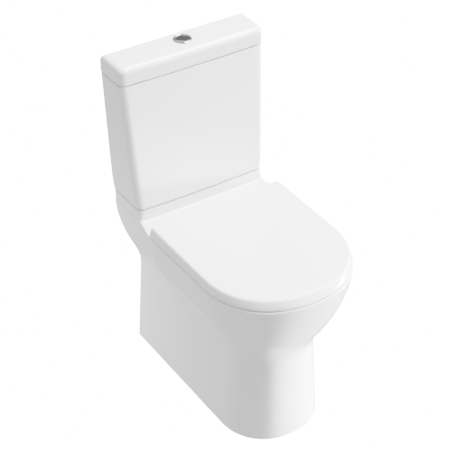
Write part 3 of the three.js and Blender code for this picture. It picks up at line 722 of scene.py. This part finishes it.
def make_tank():
    low, high, inner = TANK["bottom"], TANK["top"], GROOVE["inner"]
    base, rim = low + GROOVE["base"], high - GROOVE["rim"]
    rows = [(low, inner + 1), (base, inner)]
    rows += edge_rows(base + 0.1, 0, SOFT_EDGE, top=False, steps=3)
    rows += [(z, 0) for z in [*np.arange(488, 560, 8), *np.arange(570, 800, 25)]]
    rows += edge_rows(rim - 0.1, 0, SOFT_EDGE, steps=3)
    rows += [(rim - 0.2, GROOVE["lip"]), (high - GROOVE["depth"], inner), (high, inner + 0.3)]
    outer = loft([tank_ring(z, inset) for z, inset in rows])
    floor, wall = FLOOR_TOP, TANK["wall"]
    rows = [(floor, 22), (floor + 2, 15), (floor + 6, 11), (floor + 13, wall)]
    rows += [(z, wall) for z in (540, 600, 660, 720, high, 860)]
    tank = cut(outer, loft([tank_ring(z, inset) for z, inset in rows]))
    tank = cut(tank, rod(26.5, 460, 520, 0, VALVE_Y), rod(11.5, 460, 520, FILL_X, VALVE_Y))
    for _, s in SIDES:
        tank = cut(tank, rod(5.5, 460, 520, s * COUPLING_X, VALVE_Y, around=32))
    show("tank", tank)


def lid_loft(rows):
    plans = [tank_plan(LID["width"], LID["front"], WALL, inset) for _, inset in rows]
    return loft([level(plan, z) for plan, (z, _) in zip(plans, rows)])


def make_lid():
    rows = edge_rows(LID["bottom"], 0, SOFT_EDGE, top=False, steps=3)
    rows += [(z, 0) for z in (815, 824)]
    rows += edge_rows(LID["top"], 0, LID["edge"], steps=14)
    lid = add(lid_loft(rows), lid_loft([(799, 14.5), (800, 13.5), (814, 13.5)]))
    lid = cut(lid, lid_loft([(700, 18), (824, 18), (829, 20), (831, 25)]))
    show("tank_lid", cut(lid, rod(BUTTON["hole"], 790, 860, 0, BUTTON["y"], around=96)))


# ------------------------------------------------------------------ seat and cover
def seat_plan(inset, back, front_inset, corner=3.0):
    """The rim's outline moved in, straight along the back."""
    w = RIM["width"] - inset
    f = RIM["front"] + front_inset
    n = 2 / SQUARENESS
    half = []
    for t in np.linspace(0, math.pi / 2, 37):
        c, s = max(math.cos(t), 0.0) ** n, math.sin(t) ** n
        half.append((w * c, RIM["bend"] + (f - RIM["bend"]) * s))
    side = [(w, y) for y in np.linspace(RIM["bend"], back - corner, 12)[1:-1]]
    turn = arc((w - corner, back - corner), corner, 0, 90, 5)
    rear = [(x, back) for x in np.linspace(w - corner, 0, 16)[1:-1]]
    right = list(reversed(half)) + side + turn + rear
    return right + [(0, back)] + [(-x, y) for x, y in reversed(right[1:])]


def seat_loft(rows):
    return loft([level(seat_plan(inset, back, front), z) for z, inset, back, front in rows])


def seat_hole(grow):
    ring = []
    for i in range(120):
        t = 2 * math.pi * i / 120
        length = (HOLE["front"] if math.sin(t) < 0 else HOLE["back"]) + grow
        ring.append(((HOLE["width"] + grow) * math.cos(t), HOLE["middle"] + length * math.sin(t)))
    return ring


def make_ring():
    bottom, top, inset, front = SEAT["bottom"], SEAT["top"], SEAT["inset"], SEAT["front"]
    back = COVER["back"]
    rows = [
        (bottom, inset + 3, back - 2, front + 3), (bottom + 1, inset + 1, back - 0.5, front + 1),
        (bottom + 3, inset, back, front), (top - 6, inset + 1, back, front + 1.5),
        (top - 1.5, inset + 4, back - 1, front + 5), (top - 0.3, inset + 7, back - 2.2, front + 8),
        (top, inset + 12, back - 6, front + 13),
    ]
    ring = seat_loft(smooth_rows(rows, 4))
    hole = [(bottom - 1, 4), (bottom + 1, 1.6), (bottom + 4, 0), (top - 7, 0)]
    hole += [(top - 1.5, 4), (top + 0.1, 11), (top + 2, 24)]
    ring = cut(ring, loft([level(seat_hole(grow), z) for z, grow in smooth_rows(hole, 4)]))
    for _, s in SIDES:
        mid = s * HINGE["x"]
        ring = cut(ring, block(mid - 16, mid + 16, HINGE["y"] - 18, 140, 440, 490))
        ring = cut(ring, on_hinge(HINGE["pin"] + CLEAR, mid - 34, mid + 34))
    show("seat_ring", ring)


def make_cover():
    bottom, top, skin, back = COVER["bottom"], COVER["top"], COVER["skin"], COVER["back"]
    rows = [
        (bottom + 1.2, 2.0, back - 0.3, 2.4), (bottom + 1.4, 1.6, back - 0.1, 1.9),
        (bottom + 2.4, 1.3, back, 1.6), (top - 8, 4, back, 7), (top - 3, 6, back, 10),
        (top - 0.6, 9, back - 1, 13.5), (top, 13, back - 4, 18),
        (top + 1.8, 60, 60, 66), (top + 3, 130, 0, 130),
    ]
    rings = []
    for z, inset, rear, front in smooth_rows(rows, 6):
        corner = min(3.0 + 0.1 * inset, 20)
        rings.append(level(seat_plan(inset, rear, front, corner), z))
    last = np.array(rings[-1])
    centre = last.mean(axis=0)
    for share in (0.7, 0.4, 0.15):
        rings.append((centre + (last - centre) * share).tolist())
    outer = loft(rings)
    hollow = [
        (bottom - 5, 5.4, 140, 5.8), (top - 9, 7.6, 140, 10.6),
        (top - skin - 2, 8.0, 140, 13), (top - skin, 8.2, 140, 17),
    ]
    inner = seat_loft(smooth_rows(hollow, 4))
    cover = cut(outer, inner)
    for _, s in SIDES:
        low, high = sorted((s * (HINGE["x"] - 7.5), s * (HINGE["x"] - 14.5)))
        ear = block(low, high, HINGE["y"] - 5, HINGE["y"] + 5, HINGE["z"], top - 2)
        ear = add(ear, on_hinge(7, low, high, 48, 0.6))
        cover = cut(add(cover, ear), on_hinge(HINGE["pin"] + CLEAR, low - 1, high + 1))
    show("seat_cover", cover)


# ------------------------------------------------------------------ hinges, buffers and fixings
def wing_nut(x, y, top, hole):
    wings = block(x - 17, x + 17, y - 1.6, y + 1.6, top - 15, top - 3)
    nut = add(rod(8, top - 10, top, x, y), wings)
    return cut(nut, rod(hole + CLEAR, top - 20, top + 5, x, y))


def pad(x, y, z, size, turn=0.0):
    """A block for a soft pad, turned about its own middle."""
    length, width, height = size
    obj = block(-length / 2, length / 2, -width / 2, width / 2, -height / 2, height / 2)
    obj.data.transform(Matrix.Translation((x, y, z)) @ Matrix.Rotation(turn, 4, "Z"))
    return obj


def make_hinges():
    for side, s in SIDES:
        x, y = s * HINGE["x"], HINGE["bolt_y"]
        post = rod(9.6, RIM_TOP + CLEAR, RIM_TOP + 3.4, x, y, edge=0.8, around=64)
        neck = block(x - 6, x + 6, HINGE["y"] - 6.5, HINGE["y"] + 6.5, RIM_TOP + 2, HINGE["z"])
        post = add(post, neck)
        post = add(post, on_hinge(6.8, x - 6, x + 6, 64))
        post = cut(post, on_hinge(HINGE["pin"] + CLEAR, x - 20, x + 20))
        show(f"hinge_post_{side}", cut(post, rod(4.3, 430, RIM_TOP + 6, x, y)))
        show(f"hinge_pin_{side}", on_hinge(HINGE["pin"], x - 32, x + 32, 48, 0.5))
        show(f"seat_bolt_{side}", rod(4, 398, RIM_TOP + 5.6, x, y, edge=0.6))
        show(f"seat_washer_{side}", tube(14, 4.3, RIM_UNDER - 3.3, RIM_UNDER - CLEAR, x, y))
        show(f"seat_nut_{side}", wing_nut(x, y, RIM_UNDER - 3.6, 4), bevel=0.5)
        height = COVER["top"] - COVER["skin"] - SEAT["top"] - 0.6
        middle = (COVER["top"] - COVER["skin"] + SEAT["top"]) / 2
        show(f"cover_buffer_{side}", pad(s * 140, -150, middle, (26, 12, height)), bevel=0.4)
        height = SEAT["bottom"] - RIM_TOP - 0.6
        middle = (SEAT["bottom"] + RIM_TOP) / 2
        for end, px, py, turn in (("front", 88, -248, 0.5), ("rear", 148, 60, math.pi / 2)):
            buffer = pad(s * px, py, middle, (34, 11, height), s * turn)
            show(f"ring_buffer_{end}_{side}", buffer, bevel=0.7)


def make_floor_fixings():
    top = LUG["top"]
    sleeve = [(3.4, 1), (6, 1), (6, top + CLEAR), (11, top + CLEAR), (11, top + 2.4)]
    sleeve += [(10.4, top + 3), (3.4, top + 3), (3.4, 1)]
    screw = [(0, 1), (2.9, 1), (2.9, top + 3.3), (7, top + 3.3), (7, top + 6)]
    screw += [(6.2, top + 7), (3, top + 8.1), (0, top + 8.5)]
    for side, s in SIDES:
        show(f"floor_sleeve_{side}", turned(sleeve, s * LUG["x"], LUG["y"]))
        show(f"floor_screw_{side}", turned(screw, s * LUG["x"], LUG["y"]))


# ------------------------------------------------------------------ flush buttons
def make_bezel():
    top, y, floor = LID["top"], BUTTON["y"], BEZEL_FLOOR
    lip = []
    for t in np.linspace(0, math.pi, 15):
        lip.append((20.1 + 2.5 * math.cos(t), top + CLEAR + 3.1 * math.sin(t)))
    rows = [(0, floor - 4), (BUTTON["sleeve"], floor - 4), (BUTTON["sleeve"], top + CLEAR)] + lip
    rows += [(BUTTON["bore"], floor), (0, floor)]
    bezel = turned(rows, 0, y, around=96)
    for _, x in RODS:
        bezel = cut(bezel, rod(2.8, floor - 20, floor + 8, x, ROD_Y, around=24))
    show("button_bezel", bezel)
    low, high = BUTTON["underside"] - 10, BUTTON["underside"] - 0.4
    show("bezel_nut", tube(24, BUTTON["sleeve"] + 0.4, low, high, 0, y, 64))


def make_buttons():
    """Two half buttons that share one shallow dish, each with its rod and spring."""
    top, y, edge = LID["top"], BUTTON["y"], 17.2
    dish = [(0, top - 7), (edge, top - 7), (edge, top + 0.9), (16.9, top + 1.3)]
    dish += [(r, top - 1 + 2.3 * (r / edge) ** 2) for r in (16.2, 15, 13, 11, 9, 7, 5, 3)]
    dish += [(0, top - 1)]
    full = meet(turned(dish, 0, y, around=96), block(-30, SPLIT - 0.35, 200, 300, 830, 860))
    half = meet(turned(dish, 0, y, around=96), block(SPLIT + 0.35, 30, 200, 300, 830, 860))
    show("full_flush_button", full)
    show("half_flush_button", half)
    low, length = BEZEL_FLOOR + 1.2, top - 9.4 - BEZEL_FLOOR
    count, radius = SPRING["points"], SPRING["radius"]
    for name, x in RODS:
        push_rod = rod(2.3, CAGE["top"] - 14, top - 7.4, x, ROD_Y, around=24, edge=0.3)
        show(f"{name}_push_rod", push_rod)
        coil = []
        for i in range(count + 1):
            t = 2 * math.pi * SPRING["turns"] * i / count
            height = low + length * i / count
            coil.append((x + radius * math.cos(t), ROD_Y + radius * math.sin(t), height))
        spring = show(f"{name}_return_spring", pipe(coil, SPRING["wire"], 10))
        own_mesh(spring)


# ------------------------------------------------------------------ valves and couplings inside the tank
def make_coupling():
    under_tank = TANK["bottom"] - 0.4
    gasket = [(34.5, RECESS + CLEAR), (42.5, RECESS + CLEAR), (42.5, DECK_TOP - 5), (41.6, DECK_TOP - 2.4)]
    gasket += [(39, under_tank), (35.5, under_tank), (34.5, RECESS + CLEAR)]
    show("coupling_gasket", turned(gasket, 0, VALVE_Y))
    for side, s in SIDES:
        x = s * COUPLING_X
        head = rod(9, FLOOR_TOP + 4.6, FLOOR_TOP + 10, x, VALVE_Y, around=6)
        bolt = add(rod(4, 436, FLOOR_TOP + 6, x, VALVE_Y, edge=0.5), head)
        show(f"coupling_bolt_{side}", bolt, bevel=0.4)
        show(f"coupling_seal_{side}", tube(12, 4.3, FLOOR_TOP + CLEAR, FLOOR_TOP + 4.3, x, VALVE_Y))
        show(f"coupling_washer_{side}", tube(13, 4.3, DECK_UNDER - 3.3, DECK_UNDER - CLEAR, x, VALVE_Y))
        show(f"coupling_nut_{side}", wing_nut(x, VALVE_Y, DECK_UNDER - 3.6, 4), bevel=0.5)
        height = TANK["bottom"] - DECK_TOP - 0.5
        cushion = pad(s * 156, 242.5, DECK_TOP + 0.2 + height / 2, (14, 75, height))
        show(f"tank_pad_{side}", cushion, bevel=0.2)


def make_flush_valve():
    floor, lip, neck = FLOOR_TOP, SEAT_LIP, CAGE["neck"]
    seat = [(20, 455), (24.5, 455), (24.5, floor + 0.4), (36, floor + 0.4), (36, floor + 4.4)]
    seat += [(35.4, floor + 5), (25, floor + 6), (23, lip - 0.6), (22.4, lip), (20.6, lip)]
    seat += [(20, lip - 0.6), (20, 455)]
    show("flush_valve_seat", turned(seat, 0, VALVE_Y))
    show("flush_valve_nut", tube(33.5, 25, RECESS + 2, TANK["bottom"] - 0.4, 0, VALVE_Y))
    low, top, outer, inner = CAGE["bottom"], CAGE["top"], CAGE["outer"], CAGE["inner"]
    rows = [(inner, low), (outer, low), (outer, 609), (30, 613), (22, neck - 1), (21, neck + 3)]
    rows += [(21, top - 1.5), (20.5, top - 0.5), (19.5, top), (0, top), (0, top - 8)]
    rows += [(18.5, top - 8), (18.5, neck - 2), (inner, 606), (inner, low)]
    cage = turned(rows, 0, VALVE_Y, around=72)
    cage = cut(cage, block(-40, 40, VALVE_Y - 12, VALVE_Y + 12, low + 6, CAGE["window"]))
    cage = cut(cage, block(-12, 12, VALVE_Y - 40, VALVE_Y + 40, low + 6, CAGE["window"]))
    for _, x in RODS:
        cage = cut(cage, rod(3, top - 20, top + 8, x, ROD_Y, around=24))
    show("flush_valve_cage", cage)
    rows = [(10.5, lip + 4), (13, lip + 4), (13, lip + 8), (26.5, lip + 8), (26.5, lip + 11)]
    rows += [(13, lip + 12), (13, 704), (12.4, 705), (11.1, 705), (10.5, 704), (10.5, lip + 4)]
    show("flush_valve_spindle", turned(rows, 0, VALVE_Y))
    show("flush_valve_seal", tube(26.5, 13.3, lip + CLEAR, lip + 7.6, 0, VALVE_Y))


def make_fill_valve():
    floor, top, head = FLOOR_TOP, FILL["top"], FILL["head"]
    rows = [(6, 440), (9.4, 440), (10, 441), (10, floor + 4.6), (17, floor + 4.6), (17, floor + 8.4)]
    rows += [(16.4, floor + 9), (11, floor + 9), (11, top), (6, top), (6, 440)]
    show("fill_valve_stem", turned(rows, FILL_X, VALVE_Y))
    show("fill_valve_seal", tube(16.5, 10.3, floor + CLEAR, floor + 4.3, FILL_X, VALVE_Y))
    nut = tube(17, 10.3, DECK_TOP - 12, TANK["bottom"] - 0.4, FILL_X, VALVE_Y, around=48, edge=0.4)
    show("fill_valve_nut", nut)
    pivot, link, y, z = LEVER["pivot"], LEVER["link"], LEVER["y"], FILL["lever_z"]
    rows = [(0, top + 6), (11.4, top + CLEAR), (19.4, top + CLEAR), (20, top + 1)]
    rows += [(20, head - 5), (19, head - 2.6), (15, head), (0, head)]
    body = turned(rows, FILL_X, VALVE_Y)
    for y0, y1 in ((y - 7, y - 3.6), (y + 3.6, y + 7)):
        cheek = block(pivot - 4, pivot + 4, y0, y1, head - 3, z + 2)
        body = add(body, cheek, rod(4, y0, y1, pivot, 0, z + 2, 32, "Y"))
    body = add(body, rod(1.6, y - 6, y + 6, pivot, 0, z, 24, "Y"))
    show("fill_valve_head", body)
    arm = block(pivot + 2, link + 4, y - 3, y + 3, z - 1.5, z + 1.5)
    lever = add(rod(4.2, y - 3.2, y + 3.2, pivot, 0, z, 32, "Y"), arm)
    show("float_lever", cut(lever, rod(1.95, y - 10, y + 10, pivot, 0, z, 24, "Y")), bevel=0.3)
    low, high = FILL["float_bottom"], FILL["float_top"]
    rows = [(12, low), (13.5, low), (13.5, high - 2), (25.5, high - 2), (25.5, low), (27, low)]
    rows += [(27, high - 4), (26, high - 1.4), (24, high), (12, high), (12, low)]
    show("float_cup", turned(rows, FILL_X, VALVE_Y))
    show("float_link", rod(1.8, high + CLEAR, z - 2.3, link, y, around=24, edge=0.3))


make_pan()
make_tank()
make_lid()
make_ring()
make_cover()
make_hinges()
make_floor_fixings()
make_bezel()
make_buttons()
make_coupling()
make_flush_valve()
make_fill_valve()


# ------------------------------------------------------------------ floor, light and camera
def glow_material(name, tones, scale, roughness, strength):
    """A plain material for the stage that also gives off light."""
    made = bpy.data.materials.new(name)
    made.use_nodes = True
    tree = made.node_tree
    shader = tree.nodes["Principled BSDF"]
    shader.inputs["Roughness"].default_value = roughness
    shader.inputs["Emission Color"].default_value = (1, 1, 1, 1)
    shader.inputs["Emission Strength"].default_value = strength
    tree.links.new(tinted(tree, noise(tree, scale), *tones), shader.inputs["Base Color"])
    return made


def hide_from(obj, rays):
    for ray in rays:
        setattr(obj, "visible_" + ray, False)


def make_floor():
    """A pale floor that turns up into a far backdrop. It is bright to the camera and throws no light."""
    bend, far = 5000, 14000
    top = [(0, 0), (9000, 0)] + arc((9000, bend), bend, -75, 0, 6)
    under = [(r + 1, z - 1) for r, z in reversed(top[1:])]
    floor = turned(top + [(far, far), (far + 1, far)] + under + [(0, -1)])
    floor.data.transform(Matrix.Scale(MM, 4))
    floor.name = "studio_floor"
    for polygon in floor.data.polygons:
        polygon.use_smooth = True
    hide_from(floor, ("diffuse", "glossy", "transmission", "shadow"))
    tones = ((0.78, 0.78, 0.775), (0.80, 0.80, 0.795))
    floor.data.materials.append(glow_material("studio_floor", tones, 3, 0.7, 16.0))


def make_light(name, place_at, aim, size, power):
    lamp = bpy.data.lights.new(name, "AREA")
    lamp.shape = "RECTANGLE"
    lamp.size, lamp.size_y = size
    lamp.energy = power
    obj = bpy.data.objects.new(name, lamp)
    bpy.context.scene.collection.objects.link(obj)
    obj.location = place_at
    obj.rotation_euler = (Vector(aim) - Vector(place_at)).to_track_quat("-Z", "Y").to_euler()
    obj.visible_camera = False
    return obj


def make_card(name, place_at, aim, size, strength):
    """A dim panel that only mirror-like surfaces pick up."""
    half = size / 2
    corners = [(-half, -half, 0), (half, -half, 0), (half, half, 0), (-half, half, 0)]
    mesh = bpy.data.meshes.new(name)
    mesh.from_pydata(corners, [], [(0, 1, 2, 3)])
    card = bpy.data.objects.new(name, mesh)
    bpy.context.scene.collection.objects.link(card)
    card.location = place_at
    card.rotation_euler = (Vector(aim) - Vector(place_at)).to_track_quat("Z", "Y").to_euler()
    hide_from(card, ("camera", "diffuse", "transmission", "shadow"))
    tones = ((0.03, 0.03, 0.03), (0.035, 0.035, 0.035))
    mesh.materials.append(glow_material(name, tones, 2, 0.8, strength))


def make_studio():
    make_floor()
    make_card("dark_panel", (1.25, 2.5, 2.95), (0, 0.25, 0.85), 2.3, 0.12)
    world = bpy.data.worlds.new("studio")
    world.use_nodes = True
    background = world.node_tree.nodes["Background"]
    background.inputs["Color"].default_value = (1, 1, 1, 1)
    background.inputs["Strength"].default_value = 1.08
    bpy.context.scene.world = world
    make_light("key", (1.49, -0.60, 3.5), (0, 0, 0.4), (2.2, 2.2), 880)
    make_light("right_side", (2.6, -0.45, 0.6), (0, -0.1, 0.25), (1.4, 1.0), 170)
    low = make_light("right_low", (1.9, -1.15, 0.02), (0.05, -0.25, 0.12), (0.6, 0.35), 20)
    low.data.spread = math.radians(30)
    glow = make_light("left_back", (-0.46, 0.62, 0.16), (-0.12, 0.29, 0.16), (0.3, 0.3), 4.0)
    glow.visible_glossy = False
    lens = bpy.data.cameras.new("camera")
    lens.lens = 114.8
    lens.sensor_width = 36
    camera = bpy.data.objects.new("camera", lens)
    bpy.context.scene.collection.objects.link(camera)
    camera.location = (-1.5018, -2.2473, 2.4371)
    aim = Vector((-0.0246, 0.0274, 0.4665))
    camera.rotation_euler = (aim - camera.location).to_track_quat("-Z", "Y").to_euler()
    bpy.context.scene.camera = camera


make_studio()
